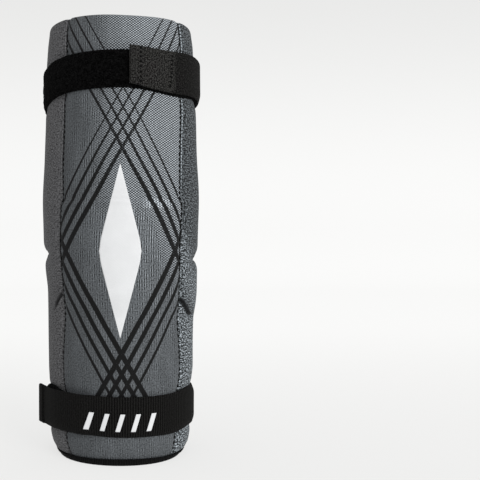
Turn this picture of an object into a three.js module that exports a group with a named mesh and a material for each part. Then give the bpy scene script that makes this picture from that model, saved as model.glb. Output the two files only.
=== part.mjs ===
// A padded lacrosse arm pad for the right arm: a soft sleeve, open at both ends, that stands on its
// bound lower rim. A thick front panel and a thinner panel round the sides and back are sewn along two
// seams, and two straps close round the sleeve, each an elastic strap over a loop-pile strap.
// Millimetres, +Z up along the arm, the elbow side towards -Y. Angles run from the middle of the front
// (0 degrees) towards +X (90 degrees), the back (180 degrees) and on.
import * as THREE from "three";

// The sleeve
const LENGTH = 290;
const ELBOW_HALF_WIDTH = 54.1;
const FRONT_DEPTH = 46;
const BACK_DEPTH = 42;
const FRONT_WALL = 10;
const SIDE_WALL = 5;
const BACK_WALL = 4;
const RIM_RADIUS = 2.8;
const TOP_RIM_SLOPE = 0.004; // the top rim is this much lower, per millimetre, towards +X
const CLEARANCE = 0.3;

// Relief of the sleeve's outer face
const ELBOW_CAP_RISE = 2.2;
const CAP_UPPER_LEDGE = 7;
const CAP_LOWER_SLOPE = 20;
const SEAM_DEPTH = 1.2;
const SEAM_SPREAD = 2.6;
const PINCH_DEPTH = 2.6;
const PINCH_SPREAD = 4.6;
const FOLD_DEPTH = 1.3;
const FOLD_SPREAD = 2.6;
const FOLD_FALL = 0.4; // millimetres down for each degree away from the seam

// The binding of the lower rim
const BINDING_HEIGHT = 4.2;
const BINDING_SIDE_HEIGHT = 2.4;
const BINDING_INNER_HEIGHT = 6;
const BINDING_THICKNESS = 1.1;
const HEM_TUCK = 1.6;
const HEM_HEIGHT = BINDING_THICKNESS + CLEARANCE;

// The straps
const ELASTIC_WIDTH = 25.4;
const ELASTIC_THICKNESS = 1.6;
const PILE_WIDTH = 24;
const PILE_THICKNESS = 2;
const HEM_THICKNESS = 2.8;
const UPPER_STRAP_DROP = 40.8; // from the top rim down to the strap's middle, at the sleeve's sides
const UPPER_STRAP_TILT = 6.8; // how much higher the strap lies at the front
const UPPER_STRAP_ROLL = 3.3; // how much higher it lies towards +X
const UPPER_STRAP_BOW = 3; // how much higher it lies at the left of the front
const UPPER_STRAP_DIP = 2.6; // how much lower it lies at the right of the front
const UPPER_PILE_LOWER_BY = 1.6;
const LOWER_STRAP_RISE = 31.4;
const LOWER_STRAP_BOW = 1.6; // how much higher it lies at the left of the front
const FREE_TAB_LENGTH = 17.4;
const FREE_TAB_HEM = 6.4;

// How finely the solids are cut up
const FRONT_COLUMNS = 14;
const BACK_COLUMNS = 30;
const BINDING_COLUMNS = 44;
const STRAP_STEP_DEGREES = 8;
const RIM_STEPS = 3;
const FREE_TAB_STEPS = 4;

// The sleeve's sections, from the lower rim (0) to the upper rim (1): half width towards -X and +X, and
// front and back depth, as shares of ELBOW_HALF_WIDTH, FRONT_DEPTH and BACK_DEPTH, and the share of the
// full wall.
const SECTIONS = [
  { at: 0.0, left: 0.798, right: 0.808, front: 0.868, back: 0.86, wall: 0.6 },
  { at: 0.016, left: 0.838, right: 0.848, front: 0.88, back: 0.87, wall: 0.62 },
  { at: 0.026, left: 0.864, right: 0.874, front: 0.906, back: 0.89, wall: 0.7 },
  { at: 0.05, left: 0.887, right: 0.891, front: 0.93, back: 0.905, wall: 0.85 },
  { at: 0.11, left: 0.892, right: 0.899, front: 0.932, back: 0.903, wall: 1.0 },
  { at: 0.165, left: 0.896, right: 0.909, front: 0.94, back: 0.91, wall: 1.0 },
  { at: 0.205, left: 0.908, right: 0.931, front: 0.952, back: 0.93, wall: 1.0 },
  { at: 0.31, left: 0.921, right: 0.938, front: 0.96, back: 0.95, wall: 1.0 },
  { at: 0.355, left: 0.926, right: 0.972, front: 0.967, back: 0.975, wall: 1.0 },
  { at: 0.38, left: 0.928, right: 0.984, front: 0.974, back: 0.985, wall: 1.0 },
  { at: 0.425, left: 0.95, right: 0.99, front: 0.986, back: 1.0, wall: 1.0 },
  { at: 0.5, left: 0.98, right: 0.995, front: 1.0, back: 1.0, wall: 1.0 },
  { at: 0.58, left: 0.993, right: 1.004, front: 1.0, back: 0.99, wall: 1.0 },
  { at: 0.69, left: 0.969, right: 0.987, front: 0.985, back: 0.975, wall: 1.0 },
  { at: 0.785, left: 0.948, right: 0.976, front: 0.975, back: 0.965, wall: 1.0 },
  { at: 0.86, left: 0.943, right: 0.955, front: 0.965, back: 0.957, wall: 1.0 },
  { at: 0.955, left: 0.928, right: 0.931, front: 0.958, back: 0.95, wall: 0.9 },
  { at: 1.0, left: 0.905, right: 0.908, front: 0.95, back: 0.94, wall: 0.72 },
];

// Where the two seams run: degrees away from the middle of the front, on each side.
const SEAMS = [
  { at: 0.0, left: 47.5, right: 49.3 },
  { at: 0.07, left: 50, right: 51 },
  { at: 0.21, left: 51.5, right: 52.9 },
  { at: 0.335, left: 47.8, right: 48.5 },
  { at: 0.393, left: 46.8, right: 45.4 },
  { at: 0.478, left: 46.8, right: 45.8 },
  { at: 0.59, left: 45.2, right: 47.4 },
  { at: 0.7, left: 47.2, right: 49.4 },
  { at: 0.84, left: 47.3, right: 50.9 },
  { at: 0.932, left: 45, right: 53.2 },
  { at: 1.0, left: 45.6, right: 53 },
];

// The elbow cap's two edges and the pinch at the elbow, as shares of the length.
const CAP_TOP = 0.59;
const CAP_BOTTOM = 0.36;
const PINCH_LEFT_AT = 0.466;
const PINCH_RIGHT_AT = 0.457;
const FOLD_AT = 0.364;

// How many rings of points lie between one height and the next, as shares of the length.
const RING_BANDS = [
  { to: 0.01, rings: 1 },
  { to: 0.017, rings: 1 },
  { to: 0.026, rings: 1 },
  { to: 0.052, rings: 1 },
  { to: 0.3, rings: 5 },
  { to: 0.37, rings: 5 },
  { to: 0.43, rings: 2 },
  { to: 0.49, rings: 5 },
  { to: 0.57, rings: 2 },
  { to: 0.615, rings: 3 },
  { to: 0.955, rings: 7 },
];

// Each strap's stations, in degrees: over is 1 where it lies on the other strap and 0 where it lies on
// the sleeve, and hem is 1 where its end is folded double.
const UPPER_ELASTIC_STATIONS = [
  { angle: 6, over: 1, hem: 1 },
  { angle: 13.6, over: 1, hem: 1 },
  { angle: 15.2, over: 1, hem: 0 },
  { angle: 117.5, over: 1, hem: 0 },
  { angle: 129, over: 0, hem: 0 },
  { angle: 158, over: 0, hem: 0 },
  { angle: 169, over: 1, hem: 0 },
  { angle: 191, over: 1, hem: 0 },
];
const UPPER_PILE_STATIONS = [
  { angle: -190, over: 0, hem: 0 },
  { angle: 116, over: 0, hem: 0 },
];
const LOWER_ELASTIC_STATIONS = [
  { angle: -66, over: 1, hem: 0 },
  { angle: -31, over: 1, hem: 0 },
  { angle: -20, over: 0, hem: 0 },
  { angle: 158, over: 0, hem: 0 },
  { angle: 169, over: 1, hem: 0 },
  { angle: 191, over: 1, hem: 0 },
];
const LOWER_PILE_STATIONS = [
  { angle: -190, over: 0, hem: 0 },
  { angle: -33, over: 0, hem: 0 },
];

const MATERIALS = {
  frontKnit: new THREE.MeshStandardMaterial({ color: 0x6a6e71, roughness: 0.85, metalness: 0 }),
  sideMesh: new THREE.MeshStandardMaterial({ color: 0x5c5d60, roughness: 0.9, metalness: 0 }),
  elastic: new THREE.MeshStandardMaterial({ color: 0x2a2928, roughness: 0.8, metalness: 0 }),
  pile: new THREE.MeshStandardMaterial({ color: 0x121112, roughness: 1, metalness: 0 }),
  binding: new THREE.MeshStandardMaterial({ color: 0x161414, roughness: 0.75, metalness: 0 }),
};

const radians = THREE.MathUtils.degToRad;

function smooth(value) {
  const t = THREE.MathUtils.clamp(value, 0, 1);
  return t * t * (3 - 2 * t);
}

function bell(distance, spread) {
  return Math.exp(-((distance / spread) ** 2));
}

// Reads one column of a table at a share of the length, on a smooth curve that never overshoots.
function read(table, column, share) {
  const at = THREE.MathUtils.clamp(share, table[0].at, table.at(-1).at);
  const rise = (i) => (table[i + 1][column] - table[i][column]) / (table[i + 1].at - table[i].at);
  const slope = (i) => {
    if (i === 0 || i === table.length - 1) return 0;
    const before = rise(i - 1);
    const after = rise(i);
    return before * after > 0 ? (2 * before * after) / (before + after) : 0;
  };
  let i = 0;
  while (i < table.length - 2 && at > table[i + 1].at) i += 1;
  const span = table[i + 1].at - table[i].at;
  const t = (at - table[i].at) / span;
  return (
    table[i][column] * (1 + 2 * t) * (1 - t) ** 2 +
    table[i + 1][column] * t * t * (3 - 2 * t) +
    slope(i) * span * t * (1 - t) ** 2 +
    slope(i + 1) * span * t * t * (t - 1)
  );
}

// The wall's thickness: thick foam in front, thinner round the sides and back.
function wallAt(angle, z) {
  const towards = Math.cos(radians(angle));
  const ends = towards > 0 ? FRONT_WALL : BACK_WALL;
  return (SIDE_WALL + (ends - SIDE_WALL) * towards ** 2) * read(SECTIONS, "wall", z / LENGTH);
}

// A point at an angle and a height, so far outside the sleeve's plain outer face.
function pointAt(angle, z, outside) {
  const share = z / LENGTH;
  const a = radians(angle);
  const depth =
    Math.cos(a) > 0
      ? FRONT_DEPTH * read(SECTIONS, "front", share)
      : BACK_DEPTH * read(SECTIONS, "back", share);
  const side = ELBOW_HALF_WIDTH * read(SECTIONS, Math.sin(a) > 0 ? "right" : "left", share);
  return new THREE.Vector3((side + outside) * Math.sin(a), -(depth + outside) * Math.cos(a), z);
}

function seamAngle(side, z) {
  const column = side > 0 ? "right" : "left";
  return side * read(SEAMS, column, z / LENGTH);
}

// How far the outer face stands out of its plain shape: the elbow cap, the seams' grooves, the pinch at
// the elbow and the slanting fold below it.
function reliefAt(angle, z) {
  const turned = angle > 180 ? angle - 360 : angle;
  const side = Math.sign(turned) || 1;
  const away = Math.abs(turned);
  const seam = Math.abs(seamAngle(side, z));
  const arc = radians(away - seam) * ELBOW_HALF_WIDTH;

  const capTop = CAP_TOP * LENGTH;
  const capBottom = CAP_BOTTOM * LENGTH;
  const capHeight =
    smooth((capTop + CAP_UPPER_LEDGE / 2 - z) / CAP_UPPER_LEDGE) *
    smooth((z - capBottom + CAP_LOWER_SLOPE / 2) / CAP_LOWER_SLOPE);
  const cap = ELBOW_CAP_RISE * capHeight * (1 - smooth((away - seam + 4) / 34));

  const groove = SEAM_DEPTH * bell(arc, SEAM_SPREAD);

  const pinchWidth = smooth((away - seam - 8) / 26) * (1 - smooth((away - 122) / 30));
  const pinchHeight = LENGTH * (side > 0 ? PINCH_RIGHT_AT : PINCH_LEFT_AT);
  const pinch = PINCH_DEPTH * bell(z - pinchHeight, PINCH_SPREAD) * pinchWidth;

  const foldHeight = FOLD_AT * LENGTH - FOLD_FALL * (away - seam);
  const foldWidth = smooth((away - seam) / 6) * (1 - smooth((away - 84) / 18));
  const fold = FOLD_DEPTH * bell(z - foldHeight, FOLD_SPREAD) * foldWidth;

  return cap - groove - pinch - fold;
}

// How high the binding shows outside: less at the sides, where the sleeve puffs out over it.
function bindingHeightAt(angle) {
  return THREE.MathUtils.lerp(BINDING_HEIGHT, BINDING_SIDE_HEIGHT, Math.sin(radians(angle)) ** 2);
}

// The sleeve's lower edge is tucked in, to lie inside the binding.
function tuckAt(angle, z) {
  return HEM_TUCK * (1 - smooth((z - HEM_HEIGHT) / (bindingHeightAt(angle) - HEM_HEIGHT)));
}

function ringHeights() {
  const heights = [HEM_HEIGHT];
  for (const band of RING_BANDS) {
    const from = heights.at(-1);
    const to = band.to * LENGTH;
    for (let i = 1; i <= band.rings; i += 1) heights.push(from + ((to - from) * i) / band.rings);
  }
  return heights;
}

// Joins columns of points, each the same closed loop running up outside and down inside, into one body.
function skin(columns, closed) {
  const count = columns[0].length;
  const index = [];
  const steps = closed ? columns.length : columns.length - 1;
  for (let i = 0; i < steps; i += 1) {
    const here = i * count;
    const next = ((i + 1) % columns.length) * count;
    for (let k = 0; k < count; k += 1) {
      const up = (k + 1) % count;
      index.push(here + k, next + k, next + up, here + k, next + up, here + up);
    }
  }
  if (!closed) {
    const end = (columns.length - 1) * count;
    for (let k = 0; k < count / 2 - 1; k += 1) {
      const outer = k;
      const inner = count - 1 - k;
      index.push(outer, outer + 1, inner - 1, outer, inner - 1, inner);
      index.push(end + outer, end + inner - 1, end + outer + 1, end + outer, end + inner, end + inner - 1);
    }
  }
  const geometry = new THREE.BufferGeometry();
  geometry.setAttribute(
    "position",
    new THREE.Float32BufferAttribute(columns.flat().flatMap((point) => point.toArray()), 3),
  );
  geometry.setIndex(index);
  geometry.computeVertexNormals();
  return geometry;
}

// One panel of the sleeve between two edges, each given as a function of height.
function panel(fromEdge, toEdge, columnCount) {
  const heights = ringHeights();
  const columns = [];
  for (let i = 0; i <= columnCount; i += 1) {
    const angleAt = (z) => THREE.MathUtils.lerp(fromEdge(z), toEdge(z), i / columnCount);
    const rimAngle = angleAt(LENGTH);
    const top = LENGTH - TOP_RIM_SLOPE * pointAt(rimAngle, LENGTH, 0).x;
    const outer = heights.map((z) => {
      const angle = angleAt(z);
      return pointAt(angle, z, reliefAt(angle, z) - tuckAt(angle, z));
    });
    const inner = heights.map((z) => pointAt(angleAt(z), z, -wallAt(angleAt(z), z)));
    const rimWall = wallAt(rimAngle, LENGTH);
    const radius = Math.min(RIM_RADIUS, rimWall / 2);
    const rimRelief = reliefAt(rimAngle, LENGTH);
    const rimOuter = [];
    const rimInner = [];
    for (let k = 0; k <= RIM_STEPS; k += 1) {
      const turn = ((Math.PI / 2) * k) / (RIM_STEPS + 0.5);
      const back = radius * (1 - Math.cos(turn));
      const rise = radius * Math.sin(turn);
      const outerPoint = pointAt(rimAngle, LENGTH, rimRelief - back);
      const innerPoint = pointAt(rimAngle, LENGTH, back - rimWall);
      outerPoint.z = top - radius + rise;
      innerPoint.z = top - radius + rise;
      rimOuter.push(outerPoint);
      rimInner.push(innerPoint);
    }
    columns.push([...outer, ...rimOuter, ...rimInner.reverse(), ...inner.reverse()]);
  }
  return skin(columns, false);
}

function frontPanel() {
  const edge = (side) => (z) => seamAngle(side, z) - side * seamHalfGap();
  return panel(edge(-1), edge(1), FRONT_COLUMNS);
}

function sideAndBackPanel() {
  const from = (z) => seamAngle(1, z) + seamHalfGap();
  const to = (z) => 360 + seamAngle(-1, z) - seamHalfGap();
  return panel(from, to, BACK_COLUMNS);
}

// Half of the seam's clearance, as an angle at the hollow's narrowest radius.
function seamHalfGap() {
  const narrowest = FRONT_DEPTH * SECTIONS[0].front - FRONT_WALL;
  return THREE.MathUtils.radToDeg(CLEARANCE / 2 / narrowest);
}

// The tape that wraps the lower rim, outside, below and inside, in a closed ring.
function lowerBinding() {
  const floor = BINDING_THICKNESS;
  const top = BINDING_INNER_HEIGHT;
  const face = CLEARANCE + BINDING_THICKNESS;
  const columns = [];
  for (let i = 0; i < BINDING_COLUMNS; i += 1) {
    const angle = (360 * i) / BINDING_COLUMNS;
    const height = bindingHeightAt(angle);
    const curl = HEM_TUCK * Math.sin(radians(angle)) ** 2;
    const within = (at, gap) => -wallAt(angle, at) - gap;
    const profile = [
      { at: height, outside: face * 0.6 - curl, z: 0 },
      { at: height, outside: face * 0.9 - curl * 0.5, z: height * 0.2 },
      { at: height, outside: face - curl * 0.2, z: height * 0.55 },
      { at: height, outside: face, z: height },
      { at: height, outside: CLEARANCE, z: height },
      { at: height, outside: CLEARANCE * 0.5, z: height * 0.7 },
      { at: HEM_HEIGHT, outside: CLEARANCE - HEM_TUCK, z: floor },
      { at: HEM_HEIGHT, outside: within(HEM_HEIGHT, CLEARANCE), z: floor },
      { at: top, outside: within(top, CLEARANCE), z: top },
      { at: top, outside: within(top, face), z: top },
      { at: HEM_HEIGHT, outside: within(HEM_HEIGHT, face), z: floor },
      { at: HEM_HEIGHT, outside: within(HEM_HEIGHT, CLEARANCE), z: 0 },
    ];
    columns.push(profile.map((row) => pointAt(angle, row.at, row.outside).setZ(row.z)));
  }
  return skin(columns, true);
}

// The stations of a strap, cut into short steps.
function strapSteps(stations) {
  const steps = [stations[0]];
  for (let i = 1; i < stations.length; i += 1) {
    const from = stations[i - 1];
    const to = stations[i];
    const count = Math.ceil((to.angle - from.angle) / STRAP_STEP_DEGREES);
    for (let k = 1; k <= count; k += 1) {
      const t = k / count;
      steps.push({
        angle: THREE.MathUtils.lerp(from.angle, to.angle, t),
        over: THREE.MathUtils.lerp(from.over, to.over, smooth(t)),
        hem: THREE.MathUtils.lerp(from.hem, to.hem, t),
      });
    }
  }
  return steps;
}

// A strap round the sleeve. Its free tab, if it has one, leaves the sleeve straight at its first station.
function strap({ stations, width, thickness, middle, freeTab = 0 }) {
  const column = (step, along = 0) => {
    const lift = CLEARANCE + step.over * (PILE_THICKNESS + CLEARANCE);
    const full = THREE.MathUtils.lerp(thickness, HEM_THICKNESS, step.hem);
    const place = (across, outside) => {
      const point = pointAt(step.angle, middle(step.angle) + across, outside);
      const next = pointAt(step.angle + 1, middle(step.angle + 1) + across, outside);
      return point.addScaledVector(next.sub(point).normalize(), -along);
    };
    const rows = [-width / 2, 0, width / 2];
    const outer = rows.map((across) => place(across, lift + full));
    const inner = rows.map((across) => place(across, lift));
    return [...outer, ...inner.reverse()];
  };
  const columns = [];
  if (freeTab > 0) {
    const first = stations[0];
    const plainTab = freeTab - FREE_TAB_HEM;
    columns.push(column({ ...first, hem: 1 }, freeTab), column({ ...first, hem: 1 }, plainTab + 1));
    for (let i = FREE_TAB_STEPS; i > 0; i -= 1) columns.push(column(first, (plainTab * i) / FREE_TAB_STEPS));
  }
  for (const step of strapSteps(stations)) columns.push(column(step));
  return skin(columns, false);
}

function upperMiddle(lowerBy) {
  return (angle) =>
    LENGTH -
    UPPER_STRAP_DROP -
    lowerBy +
    UPPER_STRAP_TILT * Math.cos(radians(angle)) +
    UPPER_STRAP_ROLL * Math.sin(radians(angle)) +
    UPPER_STRAP_BOW * bell(angle + 55, 36) -
    UPPER_STRAP_DIP * bell(angle - 32, 22);
}

function lowerMiddle(angle) {
  return LOWER_STRAP_RISE + LOWER_STRAP_BOW * bell(angle + 45, 30);
}

function piece(name, geometry, material) {
  const mesh = new THREE.Mesh(geometry, material);
  mesh.name = name;
  return mesh;
}

const sleeve = new THREE.Group();
sleeve.add(
  piece("front_panel", frontPanel(), MATERIALS.frontKnit),
  piece("side_and_back_panel", sideAndBackPanel(), MATERIALS.sideMesh),
  piece("lower_binding", lowerBinding(), MATERIALS.binding),
);

const straps = new THREE.Group();
straps.add(
  piece(
    "upper_pile_strap",
    strap({
      stations: UPPER_PILE_STATIONS,
      width: PILE_WIDTH,
      thickness: PILE_THICKNESS,
      middle: upperMiddle(UPPER_PILE_LOWER_BY),
    }),
    MATERIALS.pile,
  ),
  piece(
    "upper_elastic_strap",
    strap({
      stations: UPPER_ELASTIC_STATIONS,
      width: ELASTIC_WIDTH,
      thickness: ELASTIC_THICKNESS,
      middle: upperMiddle(0),
    }),
    MATERIALS.elastic,
  ),
  piece(
    "lower_pile_strap",
    strap({
      stations: LOWER_PILE_STATIONS,
      width: PILE_WIDTH,
      thickness: PILE_THICKNESS,
      middle: lowerMiddle,
    }),
    MATERIALS.pile,
  ),
  piece(
    "lower_elastic_strap",
    strap({
      stations: LOWER_ELASTIC_STATIONS,
      width: ELASTIC_WIDTH,
      thickness: ELASTIC_THICKNESS,
      middle: lowerMiddle,
      freeTab: FREE_TAB_LENGTH,
    }),
    MATERIALS.elastic,
  ),
);

const armPad = new THREE.Group();
armPad.add(sleeve, straps);

// The origin is the middle of the outline, seen from above, on the plane that the lower rim stands on.
const outline = new THREE.Box3().setFromObject(armPad).getCenter(new THREE.Vector3());
armPad.position.set(-outline.x, -outline.y, 0);

export default armPad;
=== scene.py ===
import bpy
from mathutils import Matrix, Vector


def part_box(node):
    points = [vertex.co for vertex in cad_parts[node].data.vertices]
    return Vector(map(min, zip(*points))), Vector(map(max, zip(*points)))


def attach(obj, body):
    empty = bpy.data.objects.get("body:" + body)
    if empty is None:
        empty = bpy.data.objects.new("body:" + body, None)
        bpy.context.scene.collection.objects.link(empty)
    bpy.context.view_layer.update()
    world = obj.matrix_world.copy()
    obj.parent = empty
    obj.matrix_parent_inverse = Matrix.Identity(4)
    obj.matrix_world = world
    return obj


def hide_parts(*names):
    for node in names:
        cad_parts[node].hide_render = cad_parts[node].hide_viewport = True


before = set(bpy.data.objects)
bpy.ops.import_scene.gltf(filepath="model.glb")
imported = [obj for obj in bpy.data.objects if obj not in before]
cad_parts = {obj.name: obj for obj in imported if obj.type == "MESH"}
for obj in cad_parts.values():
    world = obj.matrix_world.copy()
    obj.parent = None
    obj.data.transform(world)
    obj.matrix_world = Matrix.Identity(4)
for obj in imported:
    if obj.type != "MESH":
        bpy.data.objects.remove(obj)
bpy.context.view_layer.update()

import math

import bpy
import numpy as np
from mathutils import Vector

# A padded lacrosse arm pad for the right arm, dressed round its frame. Metres, +Z up along the arm, the
# elbow side towards -Y. Angles are in degrees, from the middle of the front (0) towards +X (90).

MM = 0.001


def table(columns, *rows):
    """Rows of named values."""
    return [dict(zip(columns.split(), row)) for row in rows]


def hills(*rows):
    """Bells along an angle, so many millimetres high and so many degrees wide."""
    return table("height at wide", *rows)


def stations(*rows):
    """Places along a strap. Over is 1 where it lies on another strap, hem 1 where it is folded."""
    return table("angle over hem", *rows)


# The sleeve, as in the frame
LENGTH = 290 * MM
HALF_WIDTH = 54.1 * MM
FRONT_DEPTH = 46 * MM
BACK_DEPTH = 42 * MM
FRONT_WALL = 10 * MM
SIDE_WALL = 5 * MM
BACK_WALL = 4 * MM
CLEARANCE = 0.3 * MM
SEAM_GAP = 0.08  # in degrees
ARC_PER_DEGREE = 0.873 * MM

# Its upper rim
RIM_RADIUS = 2.8 * MM
TOP_RIM_SLOPE = 0.012
RIM_SAG = hills((0.9, 10, 26))
FRONT_RIM_RISE = 0.45 * MM
SIDE_RIM_RISE = 0.4 * MM
FRONT_RIM_DIP = 0.35 * MM
SIDE_RIM_DIP = 0.3 * MM
RIM_DIP_REACH = 4 * MM

# The binding of the lower rim
BINDING_HEIGHT = 4.2 * MM
BINDING_SIDE_HEIGHT = 2.4 * MM
BINDING_INNER_HEIGHT = 6 * MM
BINDING_THICKNESS = 1.1 * MM
BINDING_RADIUS = 44 * MM
HEM_TUCK = 1.6 * MM
HEM_HEIGHT = BINDING_THICKNESS + CLEARANCE
LEFT_UNDERCUT = 4.2 * MM
RIGHT_UNDERCUT = 4.4 * MM
UNDERCUT_HEIGHT = 3.5 * MM

# Half widths left and right, front and back depths as shares of the sizes above, at shares of the length
SECTIONS = table(
    "at left right front back wall",
    (0, 0.798, 0.808, 0.868, 0.86, 0.6),
    (0.016, 0.838, 0.848, 0.88, 0.87, 0.62),
    (0.026, 0.864, 0.874, 0.906, 0.89, 0.7),
    (0.05, 0.887, 0.891, 0.93, 0.905, 0.85),
    (0.11, 0.892, 0.899, 0.932, 0.903, 1),
    (0.165, 0.896, 0.909, 0.94, 0.91, 1),
    (0.205, 0.908, 0.931, 0.952, 0.93, 1),
    (0.31, 0.921, 0.938, 0.96, 0.95, 1),
    (0.355, 0.926, 0.972, 0.967, 0.975, 1),
    (0.38, 0.928, 0.984, 0.974, 0.985, 1),
    (0.425, 0.95, 0.99, 0.986, 1, 1),
    (0.5, 0.98, 0.995, 1, 1, 1),
    (0.58, 0.993, 1.004, 1, 0.99, 1),
    (0.69, 0.969, 0.987, 0.985, 0.975, 1),
    (0.785, 0.948, 0.976, 0.975, 0.965, 1),
    (0.86, 0.943, 0.955, 0.965, 0.957, 1),
    (0.955, 0.928, 0.931, 0.958, 0.95, 0.9),
    (1, 0.905, 0.908, 0.95, 0.94, 0.72),
)

# Where the two seams run, in degrees from the middle of the front
SEAMS = table(
    "at left right",
    (0, 47.5, 49.3),
    (0.07, 50, 51),
    (0.21, 51.5, 52.9),
    (0.335, 47.8, 48.5),
    (0.393, 46.8, 45.4),
    (0.478, 46.8, 45.8),
    (0.59, 45.2, 47.4),
    (0.7, 47.2, 49.4),
    (0.84, 47.3, 50.9),
    (0.932, 45, 53.2),
    (1, 45.6, 53),
)

# Relief of the outer face: the elbow cap between two heights, the pinch beside it and the seams
CAP_TOP = 171 * MM
CAP_BOTTOM = 104 * MM
CAP_RISE = 2.2 * MM
CAP_LEDGE = 5 * MM
CAP_SLOPE = 20 * MM
LEDGE_LIP = 0.4 * MM
LEDGE_WAVE = 1.3 * MM
PINCH_LEFT = 135.2 * MM
PINCH_RIGHT = 132.6 * MM
PINCH_DEPTH = 2.3 * MM
PINCH_SPREAD = 4.6 * MM
SEAM_DEPTH = 1.3 * MM
SEAM_SPREAD = 2.4 * MM
PUCKER_DEPTH = 0.12 * MM
PUCKER_PITCH = 3.4 * MM
PUCKER_SPREAD = 2.6 * MM
RIDGE_RISE = 0.8 * MM
RIDGE_FROM_SEAM = 0.85 * MM
RIDGE_SPREAD = 0.45 * MM
STRAP_PRESS = 0.9 * MM
PRESS_REACH = 6 * MM
RIGHT_PUFF = 0.15 * MM
LEFT_PUFF = 0.25 * MM

# Sharp folds of the side panels, in degrees and millimetres. Each starts so many degrees round at the
# height top, falls straight to foot within the arc fall, and runs on level, as far as reach. The cloth
# bulges by rise above the crease. Painted shade darkens it in the crease, by the column after spread,
# and above it by shade.
FOLDS = table(
    "side start top foot fall reach depth rise spread line shade",
    (1, 47.4, 105.6, 94.3, 14.5, 34, 2.4, 1.5, 0.8, 0.85, 0.45),
    (-1, 48.6, 109.5, 91, 20, 14, 2.2, 0.5, 0.7, 0.75, 0.15),
    (1, 74, 133.4, 131.5, 12, 42, 1.3, 0.2, 1.2, 0.3, 0),
    (-1, 70, 133.5, 136.6, 8, 44, 1.4, 0.2, 1.1, 0.3, 0),
    (-1, 60, 125, 134, 20, 26, 0.35, 0.1, 1.2, 0, 0),
    (1, 56, 126, 133, 20, 30, 0.3, 0.1, 1.3, 0, 0),
)
FOLD_BEND = 0.15
CREASE_WIDTH = 0.6 * MM
SHADE_REACH = 6 * MM

# The straps
ELASTIC_WIDTH = 25.4 * MM
LOWER_ELASTIC_WIDTH = 26.2 * MM
ELASTIC_THICKNESS = 1.6 * MM
PILE_WIDTH = 24 * MM
PILE_THICKNESS = 2 * MM
PILE_ROUGH = 0.14 * MM
HEM_THICKNESS = 2.8 * MM
UPPER_STRAP_DROP = 40.8 * MM
UPPER_STRAP_TILT = 6.8 * MM
UPPER_STRAP_ROLL = 3.3 * MM
UPPER_PILE_LOWER_BY = 1.6 * MM
LOWER_STRAP_RISE = 31.4 * MM
FREE_TAB_LENGTH = 16.8 * MM
FREE_TAB_HEM = 6.4 * MM
FREE_TAB_RISE = 1.2 * MM
FREE_TAB_COLUMNS = 34
EDGE_CURL = 1.2 * MM
CURL_REACH = 7 * MM
STRAP_FLATNESS = 0.8  # 0 follows the sleeve's slope, 1 keeps the strap's two edges level with its middle

# The straps' middles bend up, their lower edges sag, and the lower closing strap puffs out and curls in at
# its upper edge
UPPER_BENDS = hills((3, -55, 36), (-2.6, 32, 22))
LOWER_BENDS = hills((1.6, -45, 30), (1.9, 68, 20))
LOWER_PILE_BENDS = hills((3.6, -68, 15))
UPPER_SAGS = hills((1.8, 52, 24), (-1.5, 4, 12))
UPPER_PILE_SAGS = hills((2.4, 50, 20))
LOWER_SAGS = hills((0.7, 50, 15))
LOWER_PUFFS = hills((0.8, 84, 30))
LOWER_CURLS = hills((1.8, 78, 24))

# Each strap from its start to its end
UPPER_ELASTIC = stations(
    (6, 1, 1), (13.6, 1, 1), (15.2, 1, 0), (117.5, 1, 0), (129, 0, 0), (158, 0, 0), (169, 1, 0), (191, 1, 0),
)
UPPER_PILE = stations((-190, 0, 0), (116, 0, 0))
LOWER_ELASTIC = stations((-66, 1, 0), (-31, 1, 0), (-20, 0, 0), (158, 0, 0), (169, 1, 0), (191, 1, 0))
LOWER_PILE = stations((-190, 0, 0), (-33, 0, 0))

# The radius of the threads
LEFT_THREAD = 0.52 * MM
RIGHT_THREAD = 0.72 * MM
STRAP_THREAD = 0.85 * MM
BINDING_THREAD = 0.26 * MM

# The printed pattern: a white lozenge, and black pinstripes that cross above and below it
PATTERN_HEIGHT = 138 * MM
LOZENGE_HALF_WIDTH = 14.5 * MM
LOZENGE_HALF_HEIGHT = 56 * MM
LOZENGE_TIP = 0.035
PRINT_THICKNESS = 0.12 * MM
PRINT_ROOT = 0.3 * MM
STRIPE_SLOPE = 1.75
STRIPES = table("middle width", (66, 3.3), (79, 2.9), (92, 2.4), (105, 1.8))  # in millimetres
STRIPE_END = 30 * MM
BAR_COUNT = 5
BAR_PITCH = 10 * MM
BAR_WIDTH = 3 * MM
BAR_HEIGHT = 11.2 * MM
BAR_SLANT = 3.4 * MM
BAR_CENTRE_BELOW = 3.3 * MM

# The photograph's view: its camera stands level, and the pad is left of the picture's middle
CAMERA_DISTANCE = 500 * MM
CAMERA_HEIGHT = 145 * MM
FOCAL_PIXELS = 715
PICTURE_PIXELS = 480
PAD_PIXEL_X = 120.2
SENSOR_MM = 36

# Studio: the light round the scene, the key light at the right, and how light the paper is
WORLD_LIGHT = 0.92
KEY_AT = (4.2, -5.4, 1.65)
KEY_TARGET = (0, 0, 0.14)
KEY_SIZE = 3.9
KEY_WATTS = 330
# The paper is painted lighter far back and darker at the bend and high on the wall, as painted light and
# shade, and it glows evenly, as painted light that thins the pad's shadow on it
PAPER_NEAR = 0.168
PAPER_FAR = 0.25
PAPER_TINT = (1, 1, 0.992)
PAPER_GLOW = 0.7
BEND_SHADE = 0.04
HIGH_SHADE = 0.128
FAR_Y = (-0.15, 0.75)
BEND_Z = (-0.06, 0.22)
HIGH_Z = (0.2, 1.4)
SWEEP_FRONT = -2.5
SWEEP_BACK = 1.6
SWEEP_CURVE = 0.9
SWEEP_TOP = 4.0
SWEEP_HALF_WIDTH = 3.5
SWEEP_STEPS = 24

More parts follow.
